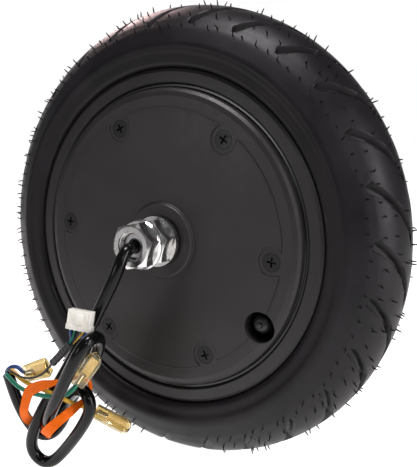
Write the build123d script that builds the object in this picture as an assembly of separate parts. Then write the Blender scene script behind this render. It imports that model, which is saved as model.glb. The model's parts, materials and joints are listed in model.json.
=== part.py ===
from build123d import *
from math import cos, pi, radians, sin, tan
import os

# Hub motor wheel with a pneumatic tyre, about 8.5 inches across.
# Frame: origin at the wheel's centre, +Y along the axle, +Z up, millimetres.
# The side that the cable leaves from faces -Y and is called the cable side.

# ---------------------------------------------------------------- tyre and tube
TYRE_RADIUS = 108.0
TYRE_HALF_WIDTH = 23.1
CROWN_BASE_RADIUS = 83.0        # radius at which the tyre is widest
CROWN_POWER = 1.82              # how square the tyre's crown is
TREAD_THICKNESS = 6.0
SIDEWALL_THICKNESS = 5.4
BEAD_SEAT_RADIUS = 70.2
BEAD_OUTER_Y = 16.0
BEAD_INNER_Y = 11.6
TUBE_CENTRE_RADIUS = 86.0
TUBE_HALF_WIDTH = 14.9
TUBE_HALF_HEIGHT = 14.2
TUBE_WALL = 1.4

# ---------------------------------------------------------------- rim and cover
FLANGE_RADIUS = 78.2
FLANGE_FACE_Y = 20.4
FLANGE_TIP_Y = 18.8
FLANGE_INNER_Y = 16.3
WELL_RADIUS = 67.0
WELL_HALF_WIDTH = 9.0
OUTER_WALL_INNER_RADIUS = 63.5
INNER_WALL_RADIUS = 53.2
ROTOR_SEAT_RADIUS = 50.6
SEAT_Y = 17.6                   # the face that the cover is screwed against
COVER_RADIUS = 69.4
COVER_FACE_Y = 23.4
COVER_INNER_Y = 18.6
PLATEAU_RADIUS = 60.3
PLATEAU_HEIGHT = 0.4
SCALLOP_RADIUS = 6.4
BEAD_GROOVE_RADIUS = 71.4       # outer edge of the sealed groove round the cover
SCREW_CIRCLE_RADIUS = 56.2
SCREW_COUNT = 6
SCREW_FIRST_ANGLE = 54.6
SCREW_HEAD_RADIUS = 4.0
SCREW_RADIUS = 2.0
SCREW_LENGTH = 14.0
BOSS_RADIUS = 17.3
BOSS_FACE_Y = 25.5
DISH_FACE_Y = 22.4
DISH_INNER_Y = 18.2
VALVE_ANGLE = -34.1             # round the axle, from +X towards +Z
VALVE_HOLE_OFFSET = 61.1
VALVE_HOLE_RADIUS = 7.0
VALVE_OFFSET = 60.2
VALVE_CAP_RADIUS = 4.7
VALVE_STEM_RADIUS = 2.3

# ---------------------------------------------------------------- motor
STACK_HALF_LENGTH = 12.0
STATOR_RADIUS = 44.2
AIR_GAP = 0.5
MAGNET_COUNT = 30
MAGNET_THICKNESS = 2.8
TOOTH_COUNT = 27
TOOTH_WIDTH = 4.2
TOOTH_TIP_DEPTH = 2.0
SLOT_OPENING = 1.8
YOKE_OUTER_RADIUS = 32.2
YOKE_INNER_RADIUS = 27.0
COIL_THICKNESS = 1.35
COIL_END_Y = 16.4

# ---------------------------------------------------------------- axle and bearings
AXLE_END_Y = 47.0
AXLE_MOUTH_Y = 44.0
AXLE_RADIUS = 6.0
AXLE_BODY_RADIUS = 8.0
AXLE_SHOULDER_Y = 16.0
AXLE_BORE_RADIUS = 3.5
AXLE_BORE_DEPTH_Y = 10.5
LEAD_HOLE_Y = 13.7
LEAD_HOLE_RADIUS = 2.1
LEAD_RADIUS = 0.65
AXLE_FLAT_DEPTH = 1.0
AXLE_STUB_RADIUS = 5.0          # the plain end beyond the far nut
AXLE_STUB_START_Y = 37.5
AXLE_STUB_CHAMFER = 0.5
BEARING_INNER_Y = 16.0
BEARING_WIDTH = 8.0
BEARING_RADIUS = 14.0
BALL_RADIUS = 2.38
BALL_COUNT = 8
BALL_PITCH_RADIUS = 10.0
RACE_CLEARANCE = 0.05
NUT_ACROSS_FLATS = 19.0
NUT_TURN = 12.0                 # how the nuts happen to be turned about the axle
NUT_FLANGE_RADIUS = 11.3
NUT_FLANGE_HEIGHT = 2.1
NUT_MOUTH_RADIUS = 6.6          # the counterbore round the axle's end
SPACER_END_Y = 27.0
SPACER_RADIUS = 9.0
WASHER_END_Y = 29.0
WASHER_RADIUS = 11.6
INNER_NUT_END_Y = 36.0
FLANGE_NUT_START_Y = 39.0
FLANGE_NUT_END_Y = 47.0
FAR_NUT_END_Y = 37.0
KEY_WIDTH = 4.0
KEY_LENGTH = 16.0
FIT_GAP = 0.02                  # radial gap of a screwed or pushed-on ring

# ---------------------------------------------------------------- cable
CABLE_RADIUS = 2.75
WIRE_RADIUS = 1.0
HALL_WIRE_RADIUS = 0.5
HALL_SLEEVE_RADIUS = 1.7
BAND_HALF_THICKNESS = 0.8
CABLE_START_Y = 40.0

# The jacketed cable's route, from the axle's mouth to where the jacket ends.
CABLE_ROUTE = [
    (0, -40, 0), (0, -47.4, 0), (-0.6, -52, -4), (-2, -54.2, -10.5), (-6.5, -55, -19.5),
    (-13, -55, -30), (-19.5, -55, -40), (-24.5, -56.5, -48.5), (-29, -58, -57),
    (-33.5, -59, -64.5), (-38, -60.5, -71.5), (-42, -62.5, -79.5), (-45.5, -63, -87),
    (-48.2, -62.4, -93.2), (-49, -61.5, -98.3), (-47.2, -60.3, -102.6), (-42.8, -59.2, -104.6),
    (-37.8, -58.5, -102.6), (-31, -58.2, -95.5), (-22.5, -59.5, -86), (-15.8, -60.3, -77),
    (-13, -60.5, -70.8), (-14, -60.3, -66.5), (-17.5, -59.5, -64), (-22.5, -58, -65),
    (-29.5, -55, -69.8), (-36, -52.5, -76.3), (-38.8, -53.8, -81.6), (-38.5, -58.6, -84.2),
    (-36, -63.6, -82.2), (-32, -66.8, -77), (-27.3, -69, -70.8), (-22.5, -70.6, -64),
    (-17, -71.8, -55.5), (-11.8, -72.3, -47.5), (-8.2, -71.8, -41.5), (-6.2, -69.3, -37.6),
    (-6, -65, -36.4), (-7, -60.8, -38), (-10, -57, -42.5), (-15.2, -53.5, -49),
    (-22.7, -50, -57.8), (-30.5, -47, -66.8), (-37, -45.5, -75.5), (-41.8, -45, -84),
    (-45.2, -45.6, -91.3), (-49.8, -47.4, -97), (-55, -49.4, -98), (-59.5, -51.6, -93.5),
    (-62.8, -54.2, -85.5), (-64.6, -57, -75.5), (-64.5, -60, -65.5),
]

# The free phase wires and the sensor wires, from the jacket's end to their sleeves.
YELLOW_ROUTE = [
    (-63.5, -58.65, -65), (-63.4, -59.3, -62.9), (-59.4, -61.3, -62.5), (-53, -63, -64.5),
    (-45.5, -64.3, -65.4), (-37, -64.6, -65.8), (-29.5, -64.2, -67.2), (-24, -61.5, -70.2),
    (-21.6, -57, -73), (-19.5, -53.3, -75.1), (-17.04, -51.57, -76.83),
]
GREEN_ROUTE = [
    (-63.9, -61.55, -65.85), (-63.8, -62.2, -63.9), (-59.4, -64.1, -64.8), (-52.5, -65.7, -67),
    (-44, -66.8, -67.9), (-35, -67, -67.6), (-27, -66, -67), (-21.6, -65.2, -64.6),
    (-18.4, -64.4, -61.5), (-16.15, -64.06, -58.42),
]
BLUE_ROUTE = [
    (-66.15, -59.6, -65.1), (-66.1, -59.7, -63.8), (-65, -57.4, -62.2), (-60.5, -57.4, -61.6),
    (-55, -59.8, -62.4), (-50.32, -61.25, -61.6),
]
HALL_ROUTE = [
    (-64.7, -60.1, -65.4), (-64.7, -60.7, -63.4), (-61.5, -62.6, -61.4), (-56.5, -63.9, -61.9),
    (-51, -64.5, -62.8), (-45.2, -65.1, -62), (-38.7, -65.8, -59.6), (-33.5, -66.2, -56.2),
    (-29.5, -66, -51.6),
]
HALL_SLEEVE_ROUTE = [
    (-15.4, -64.8, -36.7), (-19, -65.8, -41.4), (-23.8, -66.2, -46.5), (-29.2, -66, -51.4),
]
BAND_ROUTE = [
    (-28.5, -68.4, -60), (-36.5, -69.2, -62.8), (-41.5, -69.6, -66), (-44, -69, -72),
    (-47.5, -67.5, -78.5), (-50, -62, -84.5), (-47.5, -57, -86.3), (-41.5, -57.8, -88),
    (-36.5, -64.5, -87.8), (-31, -70.5, -83), (-24.5, -69.5, -76.5), (-20.2, -58, -70.8),
    (-18.8, -53.6, -66.8), (-19.5, -53.4, -61.5), (-21.3, -57.4, -58.6), (-23.6, -64.6, -58.4),
]

# Sleeved terminals and the sensor plug: centre, direction away from the wire, outer face.
HALL_CONNECTOR_CENTRE = (-14.2, -63.8, -30.4)
HALL_CONNECTOR_X = (0.93, 0.3, -0.12)
HALL_CONNECTOR_Z = (0.33, -0.91, 0.12)
HALL_CONNECTOR_WIDTH = 11.4
HALL_CONNECTOR_LENGTH = 9.0
HALL_CONNECTOR_THICKNESS = 4.6
HALL_CONTACT_COUNT = 5
HALL_CONTACT_PITCH = 2.0
GREEN_SLEEVE_CENTRE = (-11.5, -63.4, -52)
GREEN_SLEEVE_X = (10.5, 1.5, 14.5)
BLUE_SLEEVE_CENTRE = (-43.0, -62.0, -58.6)
BLUE_SLEEVE_X = (19.5, -2.0, 8.0)
YELLOW_SLEEVE_CENTRE = (-11.4, -47.6, -80.8)
YELLOW_SLEEVE_X = (13.5, 9.5, -9.5)
SLEEVE_FACE = (0.45, -0.85, 0.2)
SLEEVE_LENGTH = 17.5
SLEEVE_WIDTH = 7.6
SLEEVE_THICKNESS = 4.8
SLEEVE_WALL = 0.8
BARREL_RADIUS = 1.5
BARREL_LENGTH = 5.0
BARREL_INSET = 0.9              # from the sleeve's open end to the crimp barrel
BLADE_WIDTH = 4.6
BLADE_THICKNESS = 0.8

CABLE_SIDE = -1
FAR_SIDE = 1


# ---------------------------------------------------------------- general shapes
def turned(points):
    """A solid of revolution about Y from (radius, y) corners."""
    outline = make_face(Polyline(points, close=True))
    return revolve(outline, axis=Axis.Y)


def ring(inner_radius, outer_radius, y_from, y_to):
    """A plain ring, or a disc when inner_radius is 0, about Y."""
    low, high = sorted((y_from, y_to))
    return turned([(inner_radius, low), (outer_radius, low), (outer_radius, high), (inner_radius, high)])


def rod(start, end, radius):
    """A straight round bar between two points."""
    line = Vector(*end) - Vector(*start)
    place = Plane(origin=start, z_dir=line)
    return place * Cylinder(radius, line.length, align=(Align.CENTER, Align.CENTER, Align.MIN))


def about_axle(shape, angle):
    """Turns a shape about Y by an angle measured from +X towards +Z."""
    return Rot(0, -angle, 0) * shape


def around(shape, count, first_angle=0.0):
    """Copies of a shape, evenly spaced about Y."""
    return [about_axle(shape, first_angle + 360.0 / count * step) for step in range(count)]


def hexagon(across_flats, bore_radius, y_from, y_to, turn=0.0):
    """A hexagonal nut blank about Y, with its bore."""
    low, high = sorted((y_from, y_to))
    outline = RegularPolygon(across_flats / 2, 6, major_radius=False, rotation=turn)
    blank = extrude(Plane.XZ * outline, amount=high - low)
    return Pos(0, high, 0) * blank - ring(0, bore_radius, low - 1, high + 1)


def route_radii(route):
    """The arc radius at each inner corner: 0.45 of the shorter run over tan(half the turn)."""
    points = [Vector(*point) for point in route]
    radii = []
    for before, corner, after in zip(points, points[1:], points[2:]):
        run_in = corner - before
        run_out = after - corner
        half_turn = radians(run_in.get_angle(run_out)) / 2
        radii.append(0.45 * min(run_in.length, run_out.length) / tan(half_turn))
    return radii


def cord_tube(route, radius):
    """A round tube along straight runs joined by tangent arcs."""
    path = FilletPolyline(*route, radius=route_radii(route))
    section = Plane(origin=path @ 0, z_dir=path % 0) * Circle(radius)
    return sweep(section, path=path)


def merged(shapes):
    """One solid from overlapping shapes."""
    whole = shapes[0]
    for shape in shapes[1:]:
        whole = whole + shape
    return whole


# ---------------------------------------------------------------- tyre, tube and valve
def crown_points(half_width, height, count=14):
    """Points of the tyre's crown, from one shoulder over the top to the other."""
    points = []
    for step in range(count + 1):
        angle = pi * step / count
        across = abs(cos(angle)) ** (2 / CROWN_POWER) * (1 if cos(angle) >= 0 else -1)
        up = abs(sin(angle)) ** (2 / CROWN_POWER)
        points.append((CROWN_BASE_RADIUS + height * up, half_width * across))
    return points


def make_tyre():
    outer_crown = crown_points(TYRE_HALF_WIDTH, TYRE_RADIUS - CROWN_BASE_RADIUS)
    inner_crown = crown_points(TYRE_HALF_WIDTH - SIDEWALL_THICKNESS,
                               TYRE_RADIUS - CROWN_BASE_RADIUS - TREAD_THICKNESS)
    lip_radius = FLANGE_RADIUS + 0.4
    lip = (lip_radius, FLANGE_TIP_Y)
    swell = (lip_radius + 1.9, 21.9)
    outer = Spline([lip, swell] + outer_crown + [(swell[0], -swell[1]), (lip[0], -lip[1])])
    inner = Spline([(77.5, 13.2)] + inner_crown + [(77.5, -13.2)])
    bead = BEAD_SEAT_RADIUS + 0.02
    edges = [outer]
    for side in (1, -1):
        edges.append(Polyline((lip[0], side * lip[1]), (FLANGE_RADIUS - 1.2, side * BEAD_OUTER_Y),
                              (bead, side * BEAD_OUTER_Y), (bead, side * BEAD_INNER_Y),
                              (77.5, side * 13.2)))
    edges.append(inner)
    return revolve(make_face(edges), axis=Axis.Y)


def make_inner_tube():
    outline = Pos(TUBE_CENTRE_RADIUS, 0) * Ellipse(TUBE_HALF_HEIGHT, TUBE_HALF_WIDTH)
    hollow = Pos(TUBE_CENTRE_RADIUS, 0) * Ellipse(TUBE_HALF_HEIGHT - TUBE_WALL,
                                                  TUBE_HALF_WIDTH - TUBE_WALL)
    return revolve(outline - hollow, axis=Axis.Y)


def make_valve_stem():
    foot = TUBE_CENTRE_RADIUS - TUBE_HALF_HEIGHT
    path = FilletPolyline((foot - 0.1, -2.5, 0), (VALVE_OFFSET + 4.5, -2.9, 0),
                          (VALVE_OFFSET, -6.5, 0), (VALVE_OFFSET, -13.0, 0), radius=2.5)
    stem = sweep(Plane(origin=path @ 0, z_dir=path % 0) * Circle(VALVE_STEM_RADIUS), path=path)
    return about_axle(stem, VALVE_ANGLE)


def make_valve_cap():
    cap = rod((VALVE_OFFSET, -10.0, 0), (VALVE_OFFSET, -21.9, 0), VALVE_CAP_RADIUS)
    cap = fillet(cap.faces().sort_by(Axis.Y)[0].edges(), 3.2)
    cap = cap - rod((VALVE_OFFSET, -9.0, 0), (VALVE_OFFSET, -13.1, 0),
                    VALVE_STEM_RADIUS + FIT_GAP)
    return about_axle(cap, VALVE_ANGLE)


# ---------------------------------------------------------------- rim, cover and seals
def make_rim_shell():
    """The cast drum, its two tyre flanges and the far side's dish with its bearing seat."""
    lip_radius = FLANGE_RADIUS
    outline = [
        (BEAD_GROOVE_RADIUS, -SEAT_Y), (BEAD_GROOVE_RADIUS, -FLANGE_FACE_Y + 0.5),
        (BEAD_GROOVE_RADIUS + 0.5, -FLANGE_FACE_Y), (lip_radius - 1.8, -FLANGE_FACE_Y + 0.3),
        (lip_radius - 0.4, -FLANGE_TIP_Y - 0.5), (lip_radius, -FLANGE_TIP_Y + 0.6),
        (lip_radius - 1.4, -FLANGE_INNER_Y + 0.25), (BEAD_SEAT_RADIUS, -BEAD_OUTER_Y - 0.02),
        (BEAD_SEAT_RADIUS, -BEAD_INNER_Y), (WELL_RADIUS, -WELL_HALF_WIDTH),
        (WELL_RADIUS, WELL_HALF_WIDTH), (BEAD_SEAT_RADIUS, BEAD_INNER_Y),
        (BEAD_SEAT_RADIUS, BEAD_OUTER_Y + 0.02), (lip_radius - 1.4, FLANGE_INNER_Y - 0.25),
        (lip_radius, FLANGE_TIP_Y - 0.6), (lip_radius - 0.4, FLANGE_TIP_Y + 0.5),
        (lip_radius - 1.8, FLANGE_FACE_Y - 0.3), (BEAD_GROOVE_RADIUS, FLANGE_FACE_Y),
        (66.0, FLANGE_FACE_Y - 1.4), (60.0, FLANGE_FACE_Y - 1.4), (55.0, DISH_FACE_Y),
        (BOSS_RADIUS + 1.2, DISH_FACE_Y), (BOSS_RADIUS, BOSS_FACE_Y), (12.0, BOSS_FACE_Y),
        (12.0, BEARING_INNER_Y + BEARING_WIDTH), (BEARING_RADIUS, BEARING_INNER_Y + BEARING_WIDTH),
        (BEARING_RADIUS, BEARING_INNER_Y), (BOSS_RADIUS, BEARING_INNER_Y),
        (BOSS_RADIUS + 2.0, DISH_INNER_Y), (48.0, DISH_INNER_Y), (48.0, 13.1),
        (ROTOR_SEAT_RADIUS, 13.1), (ROTOR_SEAT_RADIUS, -SEAT_Y),
    ]
    shell = turned(outline)
    pocket = ring(INNER_WALL_RADIUS, OUTER_WALL_INNER_RADIUS, -SEAT_Y - 1, 8.5)
    boss = rod((SCREW_CIRCLE_RADIUS, -SEAT_Y, 0), (SCREW_CIRCLE_RADIUS, 9.0, 0), 5.0)
    web = Pos(SCREW_CIRCLE_RADIUS + 4.0, -(SEAT_Y - 9.0) / 2, 0) * Box(9.0, SEAT_Y + 9.0, 3.0)
    for angle in [SCREW_FIRST_ANGLE + 360.0 / SCREW_COUNT * step for step in range(SCREW_COUNT)]:
        pocket = pocket - about_axle(boss, angle) - about_axle(web, angle)
    shell = shell - pocket
    hole = rod((SCREW_CIRCLE_RADIUS, -SEAT_Y - 1, 0), (SCREW_CIRCLE_RADIUS, -6.0, 0),
               SCREW_RADIUS + FIT_GAP)
    for copy in around(hole, SCREW_COUNT, SCREW_FIRST_ANGLE):
        shell = shell - copy
    valve_pocket = rod((VALVE_HOLE_OFFSET, -SEAT_Y - 1, 0), (VALVE_HOLE_OFFSET, -9.3, 0),
                       VALVE_HOLE_RADIUS)
    valve_hole = rod((58.0, -2.6, 0), (WELL_RADIUS + 1, -2.6, 0), 4.4)
    shell = shell - about_axle(valve_pocket, VALVE_ANGLE) - about_axle(valve_hole, VALVE_ANGLE)
    return shell - ring(68.2, 69.35, -SEAT_Y - 0.1, -SEAT_Y + 0.6)


def screw_cavity(extra):
    """The countersunk space that a cover screw fills, at the screw circle's radius."""
    y = -COVER_FACE_Y
    head = SCREW_HEAD_RADIUS + extra
    shank = SCREW_RADIUS + extra
    taper = head - shank
    space = turned([(0, y), (head, y), (head, y + 0.4), (shank, y + 0.4 + taper),
                    (shank, y + SCREW_LENGTH), (0, y + SCREW_LENGTH)])
    return Pos(SCREW_CIRCLE_RADIUS, 0, 0) * space


def make_cable_side_cover():
    outline = [
        (COVER_RADIUS, -SEAT_Y), (COVER_RADIUS, -FLANGE_FACE_Y + 0.3), (68.9, -21.6),
        (67.6, -22.7), (65.6, -COVER_FACE_Y), (BOSS_RADIUS + 0.8, -COVER_FACE_Y),
        (BOSS_RADIUS + 0.2, -COVER_FACE_Y - 0.6), (BOSS_RADIUS, -BOSS_FACE_Y + 0.5),
        (BOSS_RADIUS - 0.5, -BOSS_FACE_Y), (12.0, -BOSS_FACE_Y),
        (12.0, -BEARING_INNER_Y - BEARING_WIDTH), (BEARING_RADIUS, -BEARING_INNER_Y - BEARING_WIDTH),
        (BEARING_RADIUS, -BEARING_INNER_Y), (BOSS_RADIUS, -BEARING_INNER_Y),
        (BOSS_RADIUS + 2.0, -COVER_INNER_Y), (48.5, -COVER_INNER_Y), (49.5, -SEAT_Y),
    ]
    cover = turned(outline)
    face = -COVER_FACE_Y
    plateau = ring(BOSS_RADIUS + 0.6, PLATEAU_RADIUS, face - PLATEAU_HEIGHT, face + 0.5)
    scallop = rod((SCREW_CIRCLE_RADIUS, face - 1, 0), (SCREW_CIRCLE_RADIUS, face, 0),
                  SCALLOP_RADIUS)
    for copy in around(scallop, SCREW_COUNT, SCREW_FIRST_ANGLE):
        plateau = plateau - copy
    cover = cover + plateau
    clearance = screw_cavity(0.15)
    for copy in around(clearance, SCREW_COUNT, SCREW_FIRST_ANGLE):
        cover = cover - copy
    hole = rod((VALVE_HOLE_OFFSET, -SEAT_Y + 1, 0), (VALVE_HOLE_OFFSET, -BOSS_FACE_Y, 0),
               VALVE_HOLE_RADIUS)
    return cover - about_axle(hole, VALVE_ANGLE)


def make_cover_screw():
    """A countersunk screw with a cross recess, at the screw circle's radius."""
    screw = screw_cavity(0.0)
    recess = merged([Pos(SCREW_CIRCLE_RADIUS, -COVER_FACE_Y, 0) * Box(4.4, 3.6, 0.9),
                     Pos(SCREW_CIRCLE_RADIUS, -COVER_FACE_Y, 0) * Box(0.9, 3.6, 4.4)])
    return screw - recess


def make_groove_sealant():
    return turned([(COVER_RADIUS + 0.05, -SEAT_Y - 0.05), (BEAD_GROOVE_RADIUS - 0.05, -SEAT_Y - 0.05),
                   (BEAD_GROOVE_RADIUS - 0.05, -19.5), (BEAD_GROOVE_RADIUS - 0.6, -19.0),
                   (COVER_RADIUS + 0.6, -19.0), (COVER_RADIUS + 0.05, -19.5)])


def make_cover_gasket():
    return ring(68.25, 69.3, -SEAT_Y, -SEAT_Y + 0.55)


def make_shaft_seal(side):
    outer = BEARING_INNER_Y + BEARING_WIDTH
    return ring(9.1, 12.0 - FIT_GAP, side * (outer + 0.15), side * (BOSS_FACE_Y - 0.1))


# ---------------------------------------------------------------- rotor
def make_flux_ring():
    inner = STATOR_RADIUS + AIR_GAP + MAGNET_THICKNESS
    return ring(inner, ROTOR_SEAT_RADIUS - FIT_GAP, -13.0, 13.0)


def make_rotor_magnets():
    outer = STATOR_RADIUS + AIR_GAP + MAGNET_THICKNESS - 0.02
    inner = outer - MAGNET_THICKNESS + 0.02
    arc = 360.0 / MAGNET_COUNT * 0.84
    blank = ring(inner, outer, -STACK_HALF_LENGTH - 0.5, STACK_HALF_LENGTH + 0.5)
    width = 2 * outer * sin(radians(arc / 2))
    magnet = blank & Pos((inner + outer) / 2, 0, 0) * Box(8, 40, width)
    return around(magnet, MAGNET_COUNT)


# ---------------------------------------------------------------- stator
def stator_outline():
    """The lamination's outline: a yoke with teeth and tips."""
    yoke = Circle(YOKE_OUTER_RADIUS) - Circle(YOKE_INNER_RADIUS)
    band = Circle(STATOR_RADIUS) - Circle(STATOR_RADIUS - TOOTH_TIP_DEPTH)
    reach = STATOR_RADIUS - 0.8 - YOKE_OUTER_RADIUS + 1.0
    for step in range(TOOTH_COUNT):
        turn = 360.0 / TOOTH_COUNT * step
        tooth = Pos(YOKE_OUTER_RADIUS - 1.0 + reach / 2, 0) * Rectangle(reach, TOOTH_WIDTH)
        slot = Pos(STATOR_RADIUS - 1.0, 0) * Rectangle(6.0, SLOT_OPENING)
        yoke = yoke + Rot(0, 0, turn) * tooth
        band = band - Rot(0, 0, turn + 180.0 / TOOTH_COUNT) * slot
    return yoke + band


def stator_plate(y_from, y_to):
    low, high = sorted((y_from, y_to))
    plate = extrude(Plane.XZ * stator_outline(), amount=high - low)
    return Pos(0, high, 0) * plate


def make_stator_hub():
    """The spider that carries the laminations on the axle."""
    half = 10.0
    hub = ring(AXLE_BODY_RADIUS + FIT_GAP, 12.5, -half, half)
    hub = hub + ring(23.5, YOKE_INNER_RADIUS - FIT_GAP, -half, half)
    for spoke in around(Pos(18.0, 0, 0) * Box(12.0, 2 * half - 4, 5.0), 6, 30.0):
        hub = hub + spoke
    slot = Box(KEY_WIDTH + 2 * FIT_GAP, 2 * half + 20, KEY_WIDTH + 2 * FIT_GAP)
    return hub - Pos(0, 0, AXLE_BODY_RADIUS) * slot


def make_winding():
    """One coil round the tooth that points along +X."""
    inner_y = STACK_HALF_LENGTH + 0.9
    side = TOOTH_WIDTH / 2 + 0.1
    start = YOKE_OUTER_RADIUS + 0.9
    end = STATOR_RADIUS - TOOTH_TIP_DEPTH - 0.3
    middle = (start + end) / 2
    coil = Pos(middle, 0, 0) * Box(end - start, 2 * COIL_END_Y, 2 * (side + COIL_THICKNESS))
    coil = fillet(coil.edges().filter_by(Axis.X), 1.3)
    return coil - Pos(middle, 0, 0) * Box(end - start + 2, 2 * inner_y, 2 * side)


def make_hall_board():
    board = ring(27.6, 32.6, -STACK_HALF_LENGTH - 2.5, -STACK_HALF_LENGTH - 0.9)
    keep = Pos(0, -14, -30) * Box(34, 10, 16)
    return board & keep


def make_hall_sensors():
    sensor = Pos(43.1, -13.65, 0) * Box(1.6, 1.6, 4.0)
    pitch = 360.0 / TOOTH_COUNT
    return [about_axle(sensor, -90 + pitch * 0.5 + pitch * step) for step in (-3, 0, 3)]


def make_stator_leads():
    """The three phase leads from the cable's end inside the axle up to the windings."""
    leads = []
    for x in (-1.35, 0.0, 1.35):
        path = FilletPolyline((x, -17.0, 0), (x, -LEAD_HOLE_Y, 0), (x, -LEAD_HOLE_Y, 32.6),
                              radius=2.0)
        section = Plane(origin=path @ 0, z_dir=path % 0) * Circle(LEAD_RADIUS)
        leads.append(sweep(section, path=path))
    return leads


# ---------------------------------------------------------------- axle, bearings and nuts
def make_axle():
    axle = turned([
        (0, -AXLE_MOUTH_Y), (AXLE_RADIUS - 0.6, -AXLE_MOUTH_Y), (AXLE_RADIUS, -AXLE_MOUTH_Y + 0.6),
        (AXLE_RADIUS, -AXLE_SHOULDER_Y), (AXLE_BODY_RADIUS, -AXLE_SHOULDER_Y),
        (AXLE_BODY_RADIUS, AXLE_SHOULDER_Y), (AXLE_RADIUS, AXLE_SHOULDER_Y),
        (AXLE_RADIUS, AXLE_STUB_START_Y), (AXLE_STUB_RADIUS, AXLE_STUB_START_Y),
        (AXLE_STUB_RADIUS, AXLE_END_Y - AXLE_STUB_CHAMFER),
        (AXLE_STUB_RADIUS - AXLE_STUB_CHAMFER, AXLE_END_Y), (0, AXLE_END_Y),
    ])
    axle = axle - rod((0, -AXLE_END_Y, 0), (0, -AXLE_BORE_DEPTH_Y, 0), AXLE_BORE_RADIUS)
    axle = axle - rod((0, -LEAD_HOLE_Y, 0), (0, -LEAD_HOLE_Y, 12), LEAD_HOLE_RADIUS)
    key_slot = Box(KEY_WIDTH + 2 * FIT_GAP, KEY_LENGTH + 2 * FIT_GAP, KEY_WIDTH)
    axle = axle - Pos(0, 0, AXLE_BODY_RADIUS) * key_slot
    return axle - Pos(0, -40.5, -AXLE_RADIUS) * Box(14, 13.0, 2 * AXLE_FLAT_DEPTH)


def race_groove(y):
    """The torus that both rings of a bearing are grooved with."""
    circle = Pos(BALL_PITCH_RADIUS, y) * Circle(BALL_RADIUS + RACE_CLEARANCE)
    return revolve(circle, axis=Axis.Y)


def bearing_span(side):
    return side * BEARING_INNER_Y, side * (BEARING_INNER_Y + BEARING_WIDTH)


def bearing_middle(side):
    return side * (BEARING_INNER_Y + BEARING_WIDTH / 2)


def make_bearing_inner_ring(side):
    start, end = bearing_span(side)
    return ring(AXLE_RADIUS + FIT_GAP, 8.6, start, end) - race_groove(bearing_middle(side))


def make_bearing_outer_ring(side):
    start, end = bearing_span(side)
    return ring(11.4, BEARING_RADIUS - FIT_GAP, start, end) - race_groove(bearing_middle(side))


def make_bearing_balls(side):
    ball = Pos(BALL_PITCH_RADIUS, bearing_middle(side), 0) * Sphere(BALL_RADIUS)
    return around(ball, BALL_COUNT)


def make_bearing_cage(side):
    middle = bearing_middle(side)
    cage = ring(9.6, 10.4, middle - 3.1, middle + 3.1)
    window = rod((BALL_PITCH_RADIUS - 2, middle, 0), (BALL_PITCH_RADIUS + 2, middle, 0),
                 BALL_RADIUS + 0.06)
    for copy in around(window, BALL_COUNT):
        cage = cage - copy
    return cage


def make_bearing_shields():
    shields = []
    for side in (CABLE_SIDE, FAR_SIDE):
        middle = bearing_middle(side)
        shields.append(ring(8.8, 11.38, middle - 3.75, middle - 3.4))
        shields.append(ring(8.8, 11.38, middle + 3.4, middle + 3.75))
    return shields


def chamfered_nut(y_mouth, y_seat, mouth_radius, seat_chamfer):
    """A hexagonal nut: a deep chamfer on the mouth's side, a light one on the other."""
    outward = -1 if y_mouth < y_seat else 1
    nut = hexagon(NUT_ACROSS_FLATS, AXLE_RADIUS + FIT_GAP, y_mouth, y_seat, turn=NUT_TURN)
    corner = NUT_ACROSS_FLATS / 2 / cos(radians(30)) + 0.1
    flat = NUT_ACROSS_FLATS / 2
    seat_end = [(corner, y_seat)]
    if seat_chamfer:
        seat_end = [(corner, y_seat + outward * 1.3), (flat - 0.2, y_seat)]
    envelope = turned([(0, y_mouth), (flat - 0.7, y_mouth), (corner, y_mouth - outward * 1.7)]
                      + seat_end + [(0, y_seat)])
    above = y_mouth + outward
    floor = y_mouth - outward * 2.8
    throat = turned([
        (0, above), (mouth_radius + 0.4, above), (mouth_radius, y_mouth - outward * 0.4),
        (mouth_radius, floor + outward * 0.4), (AXLE_RADIUS, floor), (0, floor),
    ])
    return (nut & envelope) - throat


def make_inner_nut():
    return chamfered_nut(-INNER_NUT_END_Y, -WASHER_END_Y, AXLE_RADIUS + FIT_GAP, True)


def make_flange_nut(y_mouth, y_seat, mouth_radius):
    outward = -1 if y_mouth < y_seat else 1
    nut = chamfered_nut(y_mouth, y_seat + outward * 1.0, mouth_radius, False)
    edge = NUT_FLANGE_RADIUS
    top = y_seat + outward * NUT_FLANGE_HEIGHT
    flange = turned([
        (AXLE_RADIUS + FIT_GAP, y_seat), (edge - 0.6, y_seat), (edge, y_seat + outward * 0.5),
        (edge, top - outward * 1.0), (edge - 0.7, top), (AXLE_RADIUS + FIT_GAP, top),
    ])
    return nut + flange


def make_washer(side):
    return ring(AXLE_RADIUS + 0.3, WASHER_RADIUS, side * SPACER_END_Y, side * WASHER_END_Y)


def make_spacer(side):
    bearing_end = BEARING_INNER_Y + BEARING_WIDTH
    return ring(AXLE_RADIUS + FIT_GAP, SPACER_RADIUS, side * bearing_end, side * SPACER_END_Y)


def make_cable_grommet():
    return ring(CABLE_RADIUS + FIT_GAP, AXLE_BORE_RADIUS - FIT_GAP, -AXLE_MOUTH_Y, -CABLE_START_Y)


# ---------------------------------------------------------------- cable ends
def placed(shape, centre, x_dir, z_dir):
    """Puts a shape made at the origin at a centre, with its own X and Z along two directions."""
    return Plane(origin=centre, x_dir=x_dir, z_dir=z_dir).location * shape


def across(x_dir, rough_z):
    """The direction nearest rough_z that is square to x_dir."""
    x = Vector(*x_dir).normalized()
    z = Vector(*rough_z)
    return (z - x * z.dot(x)).normalized()


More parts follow.
